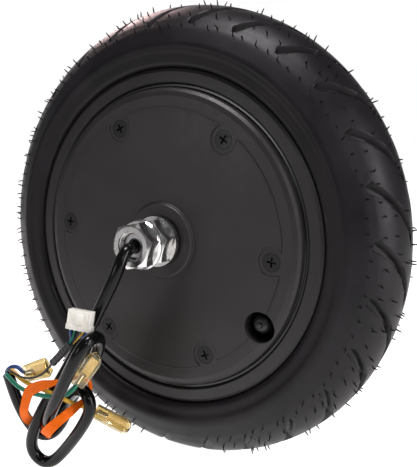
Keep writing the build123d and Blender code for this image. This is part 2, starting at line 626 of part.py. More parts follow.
def make_terminal_sleeve(centre, x_dir):
    """A flat insulating sleeve: a rounded pocket with an open wire end."""
    shell = Box(SLEEVE_LENGTH, SLEEVE_WIDTH, SLEEVE_THICKNESS)
    shell = fillet(shell.edges().filter_by(Axis.X), 2.0)
    shell = fillet(shell.faces().sort_by(Axis.X)[-1].edges(), 1.4)
    hollow = Pos(-1.2, 0, 0) * Box(SLEEVE_LENGTH - 1.2, SLEEVE_WIDTH - 2 * SLEEVE_WALL,
                                   SLEEVE_THICKNESS - 2 * SLEEVE_WALL)
    return placed(shell - hollow, centre, x_dir, across(x_dir, SLEEVE_FACE))


def make_terminal(centre, x_dir):
    """A flat push-on terminal with a crimp barrel, inside its sleeve."""
    barrel_start = -SLEEVE_LENGTH / 2 + BARREL_INSET
    blade = Pos(1.6, 0, 0) * Box(SLEEVE_LENGTH - 7.2, BLADE_WIDTH, BLADE_THICKNESS)
    barrel = Rot(0, 90, 0) * Cylinder(BARREL_RADIUS, BARREL_LENGTH)
    bore = Rot(0, 90, 0) * Cylinder(WIRE_RADIUS + FIT_GAP, BARREL_LENGTH + 1.0)
    terminal = blade + Pos(barrel_start + BARREL_LENGTH / 2, 0, 0) * barrel
    terminal = terminal - Pos(barrel_start + (BARREL_LENGTH - 3.0) / 2, 0, 0) * bore
    return placed(terminal, centre, x_dir, across(x_dir, SLEEVE_FACE))


def make_hall_connector():
    """A small plug housing with a row of contact cavities and a latch rib."""
    body = Box(HALL_CONNECTOR_WIDTH, HALL_CONNECTOR_LENGTH, HALL_CONNECTOR_THICKNESS)
    body = fillet(body.edges().filter_by(Axis.Z), 0.5)
    latch = Pos(0, 1.4, HALL_CONNECTOR_THICKNESS / 2 + 0.3) * Box(5.0, 5.2, 0.9)
    housing = body + latch
    first = -HALL_CONTACT_PITCH * (HALL_CONTACT_COUNT - 1) / 2
    for step in range(HALL_CONTACT_COUNT):
        cavity = Box(HALL_CONTACT_PITCH - 0.7, HALL_CONNECTOR_LENGTH - 2.6, 2.6)
        housing = housing - Pos(first + HALL_CONTACT_PITCH * step, 2.0, -0.3) * cavity
    upright = across(HALL_CONNECTOR_X, HALL_CONNECTOR_Z)
    return placed(housing, HALL_CONNECTOR_CENTRE, HALL_CONNECTOR_X, upright)


def make_hall_sleeve():
    """The heat-shrunk tube that gathers the thin sensor wires below their plug."""
    return cord_tube(HALL_SLEEVE_ROUTE, HALL_SLEEVE_RADIUS)


def make_cable_band():
    """A stretched elastic band in a closed ring round the bundle."""
    corners = [Vector(*point) for point in BAND_ROUTE]
    closed = corners[-1:] + corners + corners[:1]
    parts = []
    for start, end in zip(closed, closed[1:-1]):
        parts.append(rod(tuple(start), tuple(end), BAND_HALF_THICKNESS))
        parts.append(Pos(*tuple(end)) * Sphere(BAND_HALF_THICKNESS))
    return merged(parts)


# ---------------------------------------------------------------- writing the nodes
def write(name, shape):
    shapes = shape if isinstance(shape, list) else [shape]
    solids = [solid for item in shapes for solid in item.solids()]
    export_step(solids[0] if len(solids) == 1 else Compound(children=solids), f"parts/{name}.step")


def sleeve_nodes(colour, centre, x_dir):
    write(f"terminal_sleeve_{colour}", make_terminal_sleeve(centre, x_dir))
    write(f"terminal_{colour}", make_terminal(centre, x_dir))


os.makedirs("parts", exist_ok=True)

write("tyre", make_tyre())
write("inner_tube", make_inner_tube())
write("valve_stem", make_valve_stem())
write("valve_cap", make_valve_cap())
write("rim_shell", make_rim_shell())
write("cable_side_cover", make_cable_side_cover())
write("cover_screws", around(make_cover_screw(), SCREW_COUNT, SCREW_FIRST_ANGLE))
write("cover_gasket", make_cover_gasket())
write("groove_sealant", make_groove_sealant())
write("flux_ring", make_flux_ring())
write("rotor_magnets", make_rotor_magnets())
write("bearing_shields", make_bearing_shields())

write("axle", make_axle())
write("stator_core", stator_plate(-STACK_HALF_LENGTH, STACK_HALF_LENGTH))
write("end_insulators", [stator_plate(-STACK_HALF_LENGTH - 0.8, -STACK_HALF_LENGTH),
                         stator_plate(STACK_HALF_LENGTH, STACK_HALF_LENGTH + 0.8)])
write("stator_hub", make_stator_hub())
write("stator_key", Pos(0, 0, AXLE_BODY_RADIUS) * Box(KEY_WIDTH, KEY_LENGTH, KEY_WIDTH - 2 * FIT_GAP))
write("windings", around(make_winding(), TOOTH_COUNT))
write("hall_board", make_hall_board())
write("hall_sensors", make_hall_sensors())
write("stator_leads", make_stator_leads())
write("cable_in_axle", rod((0, -CABLE_START_Y, 0), (0, -17.0, 0), CABLE_RADIUS))
write("cable_grommet", make_cable_grommet())

for side_name, side in (("cable_side", CABLE_SIDE), ("far_side", FAR_SIDE)):
    write(f"bearing_inner_ring_{side_name}", make_bearing_inner_ring(side))
    write(f"bearing_outer_ring_{side_name}", make_bearing_outer_ring(side))
    write(f"bearing_balls_{side_name}", make_bearing_balls(side))
    write(f"bearing_cage_{side_name}", make_bearing_cage(side))
    write(f"shaft_seal_{side_name}", make_shaft_seal(side))
    write(f"spacer_{side_name}", make_spacer(side))
    write(f"washer_{side_name}", make_washer(side))
write("inner_nut_cable_side", make_inner_nut())
write("flange_nut_cable_side", make_flange_nut(-FLANGE_NUT_END_Y, -FLANGE_NUT_START_Y, NUT_MOUTH_RADIUS))
write("flange_nut_far_side", make_flange_nut(FAR_NUT_END_Y, WASHER_END_Y, AXLE_RADIUS + FIT_GAP))

write("motor_cable", cord_tube(CABLE_ROUTE, CABLE_RADIUS))
write("phase_wire_yellow", cord_tube(YELLOW_ROUTE, WIRE_RADIUS))
write("phase_wire_green", cord_tube(GREEN_ROUTE, WIRE_RADIUS))
write("phase_wire_blue", cord_tube(BLUE_ROUTE, WIRE_RADIUS))
write("hall_wires", cord_tube(HALL_ROUTE, HALL_WIRE_RADIUS))
write("hall_sleeve", make_hall_sleeve())
write("hall_connector", make_hall_connector())
sleeve_nodes("green", GREEN_SLEEVE_CENTRE, GREEN_SLEEVE_X)
sleeve_nodes("blue", BLUE_SLEEVE_CENTRE, BLUE_SLEEVE_X)
sleeve_nodes("yellow", YELLOW_SLEEVE_CENTRE, YELLOW_SLEEVE_X)
write("cable_band", make_cable_band())

for name, route in (("motor cable", CABLE_ROUTE), ("yellow wire", YELLOW_ROUTE),
                    ("green wire", GREEN_ROUTE), ("blue wire", BLUE_ROUTE),
                    ("sensor wires", HALL_ROUTE)):
    print(name, "radii", [round(radius, 1) for radius in route_radii(route)])
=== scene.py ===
import bmesh
import bpy
import json
import random
from math import acos, atan2, cos, pi, radians, sin, sqrt
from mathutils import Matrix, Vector


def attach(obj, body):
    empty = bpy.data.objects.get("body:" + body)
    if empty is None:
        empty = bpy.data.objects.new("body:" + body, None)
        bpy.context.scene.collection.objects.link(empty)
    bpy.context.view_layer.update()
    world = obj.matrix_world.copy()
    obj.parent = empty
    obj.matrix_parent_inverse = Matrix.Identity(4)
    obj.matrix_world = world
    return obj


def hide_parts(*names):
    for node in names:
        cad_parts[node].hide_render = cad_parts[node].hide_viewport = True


# Hub motor wheel. Metres, origin at the wheel's centre, +Y along the axle, +Z up.
# The cable side faces -Y. Routes are in metres; the shapes' own numbers are in millimetres.
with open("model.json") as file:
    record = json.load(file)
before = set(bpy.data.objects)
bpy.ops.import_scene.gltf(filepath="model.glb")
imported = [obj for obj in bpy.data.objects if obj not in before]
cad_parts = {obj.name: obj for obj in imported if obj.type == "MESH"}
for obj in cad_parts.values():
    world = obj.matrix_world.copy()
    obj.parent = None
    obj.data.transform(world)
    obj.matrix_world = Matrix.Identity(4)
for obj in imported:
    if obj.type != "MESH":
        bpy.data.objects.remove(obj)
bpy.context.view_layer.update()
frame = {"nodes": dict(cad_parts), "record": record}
MM = 0.001

# ---------------------------------------------------------------- camera
CAMERA_PLACE = Vector((0.1726, -0.2689, 0.0449))
CAMERA_TARGET = Vector((0.0111, 0.0, 0.00106))
CAMERA_LENS = 50.48
camera_data = bpy.data.cameras.new("camera")
camera_data.lens = CAMERA_LENS
camera_data.sensor_width = 36.0
camera_data.clip_start = 0.01
camera = bpy.data.objects.new("camera", camera_data)
bpy.context.collection.objects.link(camera)
camera.location = CAMERA_PLACE
camera.rotation_euler = (CAMERA_TARGET - CAMERA_PLACE).to_track_quat("-Z", "Y").to_euler()
bpy.context.scene.camera = camera
bpy.context.scene.view_settings.view_transform = "Standard"

# ---------------------------------------------------------------- routes
CABLE_ROUTE = [
    (0, -0.04, 0), (0, -0.0474, 0), (-0.0006, -0.052, -0.004), (-0.002, -0.0542, -0.0105),
    (-0.0065, -0.055, -0.0195), (-0.013, -0.055, -0.03), (-0.0195, -0.055, -0.04),
    (-0.0245, -0.0565, -0.0485), (-0.029, -0.058, -0.057), (-0.0335, -0.059, -0.0645),
    (-0.038, -0.0605, -0.0715), (-0.042, -0.0625, -0.0795), (-0.0455, -0.063, -0.087),
    (-0.0482, -0.0624, -0.0932), (-0.049, -0.0615, -0.0983), (-0.0472, -0.0603, -0.1026),
    (-0.0428, -0.0592, -0.1046), (-0.0378, -0.0585, -0.1026), (-0.031, -0.0582, -0.0955),
    (-0.0225, -0.0595, -0.086), (-0.0158, -0.0603, -0.077), (-0.013, -0.0605, -0.0708),
    (-0.014, -0.0603, -0.0665), (-0.0175, -0.0595, -0.064), (-0.0225, -0.058, -0.065),
    (-0.0295, -0.055, -0.0698), (-0.036, -0.0525, -0.0763), (-0.0388, -0.0538, -0.0816),
    (-0.0385, -0.0586, -0.0842), (-0.036, -0.0636, -0.0822), (-0.032, -0.0668, -0.077),
    (-0.0273, -0.069, -0.0708), (-0.0225, -0.0706, -0.064), (-0.017, -0.0718, -0.0555),
    (-0.0118, -0.0723, -0.0475), (-0.0082, -0.0718, -0.0415), (-0.0062, -0.0693, -0.0376),
    (-0.006, -0.065, -0.0364), (-0.007, -0.0608, -0.038), (-0.01, -0.057, -0.0425),
    (-0.0152, -0.0535, -0.049), (-0.0227, -0.05, -0.0578), (-0.0305, -0.047, -0.0668),
    (-0.037, -0.0455, -0.0755), (-0.0418, -0.045, -0.084), (-0.0452, -0.0456, -0.0913),
    (-0.0498, -0.0474, -0.097), (-0.055, -0.0494, -0.098), (-0.0595, -0.0516, -0.0935),
    (-0.0628, -0.0542, -0.0855), (-0.0646, -0.057, -0.0755), (-0.0645, -0.06, -0.0655),
]
YELLOW_ROUTE = [
    (-0.0635, -0.05865, -0.065), (-0.0634, -0.0593, -0.0629), (-0.0594, -0.0613, -0.0625),
    (-0.053, -0.063, -0.0645), (-0.0455, -0.0643, -0.0654), (-0.037, -0.0646, -0.0658),
    (-0.0295, -0.0642, -0.0672), (-0.024, -0.0615, -0.0702), (-0.0216, -0.057, -0.073),
    (-0.0195, -0.0533, -0.0751), (-0.01704, -0.05157, -0.07683),
]
GREEN_ROUTE = [
    (-0.0639, -0.06155, -0.06585), (-0.0638, -0.0622, -0.0639), (-0.0594, -0.0641, -0.0648),
    (-0.0525, -0.0657, -0.067), (-0.044, -0.0668, -0.0679), (-0.035, -0.067, -0.0676),
    (-0.027, -0.066, -0.067), (-0.0216, -0.0652, -0.0646), (-0.0184, -0.0644, -0.0615),
    (-0.01615, -0.06406, -0.05842),
]
BLUE_ROUTE = [
    (-0.06615, -0.0596, -0.0651), (-0.0661, -0.0597, -0.0638), (-0.065, -0.0574, -0.0622),
    (-0.0605, -0.0574, -0.0616), (-0.055, -0.0598, -0.0624), (-0.05032, -0.06125, -0.0616),
]
HALL_ROUTE = [
    (-0.0647, -0.0601, -0.0654), (-0.0647, -0.0607, -0.0634), (-0.0615, -0.0626, -0.0614),
    (-0.0565, -0.0639, -0.0619), (-0.051, -0.0645, -0.0628), (-0.0452, -0.0651, -0.062),
    (-0.0387, -0.0658, -0.0596), (-0.0335, -0.0662, -0.0562), (-0.0295, -0.066, -0.0516),
]
HALL_SLEEVE_ROUTE = [
    (-0.0154, -0.0648, -0.0367), (-0.019, -0.0658, -0.0414), (-0.0238, -0.0662, -0.0465),
    (-0.0292, -0.066, -0.0514),
]
BAND_ROUTE = [
    (-0.0285, -0.0684, -0.06), (-0.0365, -0.0692, -0.0628), (-0.0415, -0.0696, -0.066),
    (-0.044, -0.069, -0.072), (-0.0475, -0.0675, -0.0785), (-0.05, -0.062, -0.0845),
    (-0.0475, -0.057, -0.0863), (-0.0415, -0.0578, -0.088), (-0.0365, -0.0645, -0.0878),
    (-0.031, -0.0705, -0.083), (-0.0245, -0.0695, -0.0765), (-0.0202, -0.058, -0.0708),
    (-0.0188, -0.0536, -0.0668), (-0.0195, -0.0534, -0.0615), (-0.0213, -0.0574, -0.0586),
    (-0.0236, -0.0646, -0.0584),
]


# ---------------------------------------------------------------- materials
def new_material(name, colour, roughness, metallic=0.0, coat=0.0, transmission=0.0):
    material = bpy.data.materials.new(name)
    material.use_nodes = True
    shader = material.node_tree.nodes["Principled BSDF"]
    shader.inputs["Base Color"].default_value = (*colour, 1.0)
    shader.inputs["Roughness"].default_value = roughness
    shader.inputs["Metallic"].default_value = metallic
    shader.inputs["Coat Weight"].default_value = coat
    shader.inputs["Coat Roughness"].default_value = 0.12
    shader.inputs["Transmission Weight"].default_value = transmission
    return material


def add_texture(material, kind, scale, **values):
    nodes = material.node_tree.nodes
    texture = nodes.new(kind)
    place = nodes.new("ShaderNodeTexCoord")
    material.node_tree.links.new(place.outputs["Object"], texture.inputs["Vector"])
    texture.inputs["Scale"].default_value = scale
    for name, value in values.items():
        texture.inputs[name].default_value = value
    return texture


def ramp_between(material, source, stops):
    """A colour ramp fed from a texture's value; stops are (position, grey or colour)."""
    ramp = material.node_tree.nodes.new("ShaderNodeValToRGB")
    elements = ramp.color_ramp.elements
    while len(elements) < len(stops):
        elements.new(0.5)
    for element, (position, colour) in zip(elements, stops):
        element.position = position
        shade = colour if hasattr(colour, "__len__") else (colour, colour, colour)
        element.color = (*shade, 1.0)
    material.node_tree.links.new(source, ramp.inputs["Fac"])
    return ramp


def mottle(material, scale, dark, light):
    """Breaks a flat colour up with soft noise."""
    noise = add_texture(material, "ShaderNodeTexNoise", scale, Detail=4.0)
    ramp = ramp_between(material, noise.outputs["Fac"], [(0.3, dark), (0.7, light)])
    shader = material.node_tree.nodes["Principled BSDF"]
    material.node_tree.links.new(ramp.outputs["Color"], shader.inputs["Base Color"])
    return ramp


def vary_roughness(material, scale, low_value, high_value):
    noise = add_texture(material, "ShaderNodeTexNoise", scale, Detail=5.0)
    ramp = ramp_between(material, noise.outputs["Fac"], [(0.3, low_value), (0.7, high_value)])
    shader = material.node_tree.nodes["Principled BSDF"]
    material.node_tree.links.new(ramp.outputs["Color"], shader.inputs["Roughness"])


def grain(material, scale, strength, distance):
    noise = add_texture(material, "ShaderNodeTexNoise", scale, Detail=3.0)
    bump = material.node_tree.nodes.new("ShaderNodeBump")
    bump.inputs["Strength"].default_value = strength
    bump.inputs["Distance"].default_value = distance
    shader = material.node_tree.nodes["Principled BSDF"]
    material.node_tree.links.new(noise.outputs["Fac"], bump.inputs["Height"])
    material.node_tree.links.new(bump.outputs["Normal"], shader.inputs["Normal"])


def dust(material, base_ramp, scale, threshold, colour):
    """Fine pale specks over the base colour."""
    nodes = material.node_tree.nodes
    cells = add_texture(material, "ShaderNodeTexVoronoi", scale)
    patches = add_texture(material, "ShaderNodeTexNoise", scale * 0.05, Detail=2.0)
    speck = ramp_between(material, cells.outputs["Distance"],
                         [(threshold, 1.0), (threshold * 1.5, 0.0)])
    where = ramp_between(material, patches.outputs["Fac"], [(0.58, 0.0), (0.68, 1.0)])
    both = nodes.new("ShaderNodeMath")
    both.operation = "MULTIPLY"
    material.node_tree.links.new(speck.outputs["Color"], both.inputs[0])
    material.node_tree.links.new(where.outputs["Color"], both.inputs[1])
    mix = nodes.new("ShaderNodeMix")
    mix.data_type = "RGBA"
    mix.inputs["B"].default_value = (*colour, 1.0)
    material.node_tree.links.new(both.outputs[0], mix.inputs["Factor"])
    material.node_tree.links.new(base_ramp.outputs["Color"], mix.inputs["A"])
    shader = nodes["Principled BSDF"]
    material.node_tree.links.new(mix.outputs["Result"], shader.inputs["Base Color"])


materials = {
    "tyre_rubber": new_material("tyre_rubber", (0.008, 0.007, 0.008), 0.4),
    "tube_rubber": new_material("tube_rubber", (0.02, 0.02, 0.02), 0.7),
    "seal_rubber": new_material("seal_rubber", (0.008, 0.008, 0.008), 0.42),
    "sealant": new_material("sealant", (0.002, 0.002, 0.002), 0.24, coat=0.1),
    "rim_paint": new_material("rim_paint", (0.03, 0.027, 0.026), 0.45),
    "screw_steel": new_material("screw_steel", (0.014, 0.013, 0.0125), 0.4, metallic=0.5),
    "nut_plating": new_material("nut_plating", (0.8, 0.8, 0.8), 0.16, metallic=1.0),
    "steel": new_material("steel", (0.5, 0.5, 0.51), 0.3, metallic=1.0),
    "bearing_steel": new_material("bearing_steel", (0.62, 0.62, 0.64), 0.18, metallic=1.0),
    "brass": new_material("brass", (0.78, 0.66, 0.4), 0.25, metallic=1.0),
    "magnet": new_material("magnet", (0.6, 0.6, 0.6), 0.22, metallic=1.0),
    "lamination": new_material("lamination", (0.3, 0.3, 0.31), 0.5, metallic=0.9),
    "insulator": new_material("insulator", (0.75, 0.73, 0.66), 0.5),
    "hub_casting": new_material("hub_casting", (0.55, 0.55, 0.56), 0.45, metallic=1.0),
    "enamelled_wire": new_material("enamelled_wire", (0.5, 0.16, 0.05), 0.28, metallic=0.6),
    "board": new_material("board", (0.02, 0.18, 0.06), 0.35),
    "chip": new_material("chip", (0.015, 0.015, 0.015), 0.5),
    "cage_plastic": new_material("cage_plastic", (0.6, 0.56, 0.42), 0.5),
    "cable_jacket": new_material("cable_jacket", (0.002, 0.002, 0.0022), 0.2),
    "wire_yellow": new_material("wire_yellow", (0.7, 0.4, 0.04), 0.33),
    "wire_green": new_material("wire_green", (0.01, 0.17, 0.1), 0.33),
    "wire_blue": new_material("wire_blue", (0.012, 0.06, 0.24), 0.33),
    "sleeve_black": new_material("sleeve_black", (0.01, 0.01, 0.01), 0.45),
    "plug_plastic": new_material("plug_plastic", (0.82, 0.8, 0.73), 0.3),
    "sleeve_amber": new_material("sleeve_amber", (0.85, 0.7, 0.34), 0.07, transmission=0.93),
    "band_rubber": new_material("band_rubber", (0.8, 0.13, 0.001), 0.6),
}
for glossy, level in (("tyre_rubber", 0.21), ("cable_jacket", 0.24), ("rim_paint", 0.36),
                      ("band_rubber", 0.15), ("wire_yellow", 0.3), ("wire_green", 0.3)):
    surface = materials[glossy].node_tree.nodes["Principled BSDF"]
    surface.inputs["Specular IOR Level"].default_value = level
mottle(materials["tyre_rubber"], 60.0, (0.006, 0.0052, 0.0062), (0.0105, 0.009, 0.0102))
vary_roughness(materials["tyre_rubber"], 90.0, 0.34, 0.47)
grain(materials["tyre_rubber"], 2600.0, 0.12, 0.0002)
rim_colour = mottle(materials["rim_paint"], 45.0, (0.015, 0.0133, 0.0127), (0.0205, 0.0185, 0.0178))
dust(materials["rim_paint"], rim_colour, 1500.0, 0.06, (0.16, 0.15, 0.14))
vary_roughness(materials["rim_paint"], 300.0, 0.36, 0.46)
grain(materials["rim_paint"], 3800.0, 0.1, 0.00012)
vary_roughness(materials["nut_plating"], 500.0, 0.1, 0.3)
mottle(materials["nut_plating"], 260.0, (0.55, 0.54, 0.52), (0.86, 0.86, 0.86))
vary_roughness(materials["steel"], 400.0, 0.24, 0.42)
mottle(materials["lamination"], 600.0, (0.22, 0.22, 0.23), (0.36, 0.36, 0.37))
mottle(materials["hub_casting"], 300.0, (0.45, 0.45, 0.46), (0.62, 0.62, 0.63))
mottle(materials["seal_rubber"], 200.0, (0.006, 0.006, 0.006), (0.012, 0.011, 0.011))
vary_roughness(materials["cable_jacket"], 240.0, 0.16, 0.26)
mottle(materials["tube_rubber"], 120.0, (0.016, 0.016, 0.016), (0.026, 0.026, 0.026))
mottle(materials["insulator"], 200.0, (0.7, 0.68, 0.6), (0.8, 0.78, 0.72))
mottle(materials["plug_plastic"], 220.0, (0.78, 0.75, 0.66), (0.86, 0.85, 0.79))
mottle(materials["band_rubber"], 240.0, (0.74, 0.115, 0.0005), (0.86, 0.15, 0.0015))
mottle(materials["sleeve_amber"], 160.0, (0.78, 0.64, 0.32), (0.92, 0.82, 0.54))
vary_roughness(materials["screw_steel"], 500.0, 0.3, 0.5)

slot_of = {row["node"]: row["material_slot"] for row in frame["record"]["subparts"]}
for node, part in frame["nodes"].items():
    part.data.materials.clear()
    part.data.materials.append(materials[slot_of[node]])


# ---------------------------------------------------------------- mesh helpers
SHARP_ANGLE = radians(35)


def make_piece(name, points, faces, slot, body, replaces=()):
    """A mesh from points in millimetres, riding a body."""
    mesh = bpy.data.meshes.new(name)
    mesh.from_pydata([tuple(value * MM for value in point) for point in points], [], faces)
    mesh.validate()
    mesh.update()
    piece = bpy.data.objects.new(name, mesh)
    bpy.context.collection.objects.link(piece)
    mesh.materials.append(materials[slot])
    mesh.shade_smooth()
    mesh.set_sharp_from_angle(angle=SHARP_ANGLE)
    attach(piece, body)
    if replaces:
        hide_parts(*replaces)
    return piece


def grid_faces(rows, columns, wrap_rows=False):
    """Four-sided faces over rings of points that are listed ring by ring."""
    faces = []
    for row in range(rows if wrap_rows else rows - 1):
        this_start = row * columns
        next_start = (row + 1) % rows * columns
        for column in range(columns):
            next_column = (column + 1) % columns
            faces.append((this_start + column, this_start + next_column,
                          next_start + next_column, next_start + column))
    return faces


def on_wheel(radius, y, angle):
    """A point at an angle in degrees round the axle, from +X towards +Z."""
    return (radius * cos(radians(angle)), y, radius * sin(radians(angle)))


def tube_mesh(route, radius, sides=16):
    """Points and faces of a round tube along a route of Vectors; the radius may be a function."""
    points = []
    side_dir = None
    for step, centre in enumerate(route):
        before = route[max(step - 1, 0)]
        after = route[min(step + 1, len(route) - 1)]
        along = (after - before).normalized()
        if side_dir is None:
            side_dir = along.orthogonal().normalized()
        side_dir = (side_dir - along * side_dir.dot(along)).normalized()
        other = along.cross(side_dir)
        size = radius(step / (len(route) - 1)) if callable(radius) else radius
        for corner in range(sides):
            turn = 2 * pi * corner / sides
            points.append(centre + size * (side_dir * cos(turn) + other * sin(turn)))
    faces = grid_faces(len(route), sides)
    faces.append(tuple(reversed(range(sides))))
    faces.append(tuple(range(len(points) - sides, len(points))))
    return points, faces


def add_spline(data, route, closed=False):
    """Adds a smooth spline to a curve, with the route's points as its control points."""
    spline = data.splines.new("NURBS")
    spline.points.add(len(route) - 1)
    for point, place in zip(spline.points, route):
        point.co = (*place, 1.0)
    spline.order_u = 3
    spline.use_endpoint_u = not closed
    spline.use_cyclic_u = closed


def spline_line(route, steps, closed=False):
    """Points read from the NURBS spline that has the route's points as its control points."""
    data = bpy.data.curves.new("line", "CURVE")
    data.dimensions = "3D"
    data.resolution_u = steps
    add_spline(data, route, closed)
    holder = bpy.data.objects.new("line", data)
    mesh = bpy.data.meshes.new_from_object(holder)
    line = [vertex.co.copy() for vertex in mesh.vertices]
    bpy.data.objects.remove(holder)
    bpy.data.meshes.remove(mesh)
    bpy.data.curves.remove(data)
    return line


# ---------------------------------------------------------------- cords
def make_cord(name, route, diameter, slot, replaces):
    """A free cord: a curve whose control points are the route's."""
    data = bpy.data.curves.new(name, "CURVE")
    data.dimensions = "3D"
    data.bevel_depth = diameter / 2
    data.bevel_resolution = 7
    data.resolution_u = 10
    data.use_fill_caps = True
    add_spline(data, route)
    cord = bpy.data.objects.new(name, data)
    bpy.context.collection.objects.link(cord)
    data.materials.append(materials[slot])
    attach(cord, "stator")
    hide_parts(*replaces)


# ---------------------------------------------------------------- tyre
TYRE_RADIUS = 108.0
HALF_WIDTH = 23.1
GROOVE_COUNT = 27
GROOVE_FIRST = 2.35
GROOVE_WIDTH = 2.7
GROOVE_DEPTH = 2.8
GROOVE_PATH = [(16.4, 0.0), (11.6, -3.05), (6.4, -6.4), (2.9, -10.0), (1.6, -12.2)]
TYRE_COLUMNS = 1512
SIDEWALL = [
    (18.9, 78.3), (19.7, 78.45), (20.5, 78.9), (21.2, 79.7), (21.6, 80.8), (21.75, 82.2),
    (21.9, 83.5), (22.35, 84.6), (22.85, 85.6), (23.05, 86.8), (22.9, 88.1), (22.3, 89.5),
    (21.6, 90.9), (21.0, 92.2), (20.45, 93.3), (19.9, 94.4), (19.35, 95.4), (18.75, 96.3),
    (18.05, 97.2), (17.3, 98.2),
]

TYRE_INSIDE = [
    (-16.2, 76.9), (-16.0, 70.4), (-11.7, 70.4), (-13.2, 77.5), (-15.6, 84.0), (-15.0, 92.0),
    (-11.0, 98.0), (-5.0, 101.0), (0.0, 101.8),
]
SHOULDER_RADIUS = 83.0
CROWN_POWER = 1.82
CROWN_FIRST = 16.6              # where the crown's own curve takes over from the sidewall
CROWN_STEP = 0.4
GROOVE_WALL = 0.3               # half the width over which a groove's side falls
GROOVE_PAST = 1.8               # how far past its path a groove can reach
GROOVE_STOP = 0.4               # grooves end before the tyre's middle


def crown_radius(y):
    """The tread's outer radius at this y, before any groove."""
    share = 1 - min(abs(y) / HALF_WIDTH, 1.0) ** CROWN_POWER
    return SHOULDER_RADIUS + (TYRE_RADIUS - SHOULDER_RADIUS) * share ** (1 / CROWN_POWER)


def groove_angle(y):
    """How far round the wheel, in degrees, the groove has run at this y."""
    for (y_a, turn_a), (y_b, turn_b) in zip(GROOVE_PATH, GROOVE_PATH[1:]):
        if y_a >= y >= y_b:
            return turn_a + (turn_b - turn_a) * (y_a - y) / (y_a - y_b)
    return GROOVE_PATH[0][1] if y > GROOVE_PATH[0][0] else GROOVE_PATH[-1][1]


def groove_depth(y, angle, first):
    """Depth of the grooves that start at one shoulder (y is counted towards that shoulder)."""
    if y > GROOVE_PATH[0][0] + GROOVE_PAST or y < GROOVE_STOP:
        return 0.0
    pitch = 360.0 / GROOVE_COUNT
    near_y = min(max(y, GROOVE_PATH[-1][0]), GROOVE_PATH[0][0])
    offset = angle - first - groove_angle(near_y)
    offset = (offset + pitch / 2) % pitch - pitch / 2
    radius = crown_radius(y)
    slant = (groove_angle(near_y + 0.5) - groove_angle(near_y - 0.5)) * pi / 180 * radius
    if near_y + 0.5 > GROOVE_PATH[0][0] or near_y - 0.5 < GROOVE_PATH[-1][0]:
        slant *= 2.0
    aside = abs(offset) * pi / 180 * radius / sqrt(1 + slant * slant)
    beyond = abs(y - near_y)
    distance = sqrt(aside * aside + beyond * beyond)
    half = GROOVE_WIDTH / 2 * (0.55 + 0.45 * min(1.0, (near_y - GROOVE_PATH[-1][0]) / 6.0))
    if distance >= half + GROOVE_WALL:
        return 0.0
    share = min(1.0, (half + GROOVE_WALL - distance) / (2 * GROOVE_WALL))
    return GROOVE_DEPTH * share * share * (3 - 2 * share)


def tyre_profile():
    """The tyre's outside and inside, as (y, radius), from one bead to the other and back."""
    outer = list(SIDEWALL)
    y = CROWN_FIRST
    while y > 0.3:
        outer.append((y, crown_radius(y)))
        y -= CROWN_STEP
    outer.append((0.0, TYRE_RADIUS))
    outer += [(-y, radius) for y, radius in reversed(outer[:-1])]
    inner = list(TYRE_INSIDE)
    inner += [(-y, radius) for y, radius in reversed(inner[:-1])]
    return outer, inner


def make_tyre():
    """The moulded tyre, with grooves from both shoulders set half a pitch apart."""
    outer, inner = tyre_profile()
    points = []
    for step in range(TYRE_COLUMNS):
        angle = 360.0 * step / TYRE_COLUMNS
        for y, radius in outer:
            cut = groove_depth(-y, angle, GROOVE_FIRST)
            cut += groove_depth(y, angle, GROOVE_FIRST + 180.0 / GROOVE_COUNT)
            points.append(on_wheel(radius - cut, y, angle))
        for y, radius in inner:
            points.append(on_wheel(radius, y, angle))
    faces = grid_faces(TYRE_COLUMNS, len(outer) + len(inner), wrap_rows=True)
    make_piece("tyre_moulded", points, faces, "tyre_rubber", "wheel", ("tyre",))


HAIR_ROWS = (-18.6, -14.2, -9.4, -4.2, 0.6, 5.4, 10.2, 14.8, 18.6)
HAIRS_PER_ROW = 96
HAIR_SIDES = 5
HAIR_SUNK = 0.3                 # how far a hair's root goes into the rubber
HAIR_RINGS = ((0.0, 0.4), (0.72, 0.28))     # (share of the hair's length, radius)


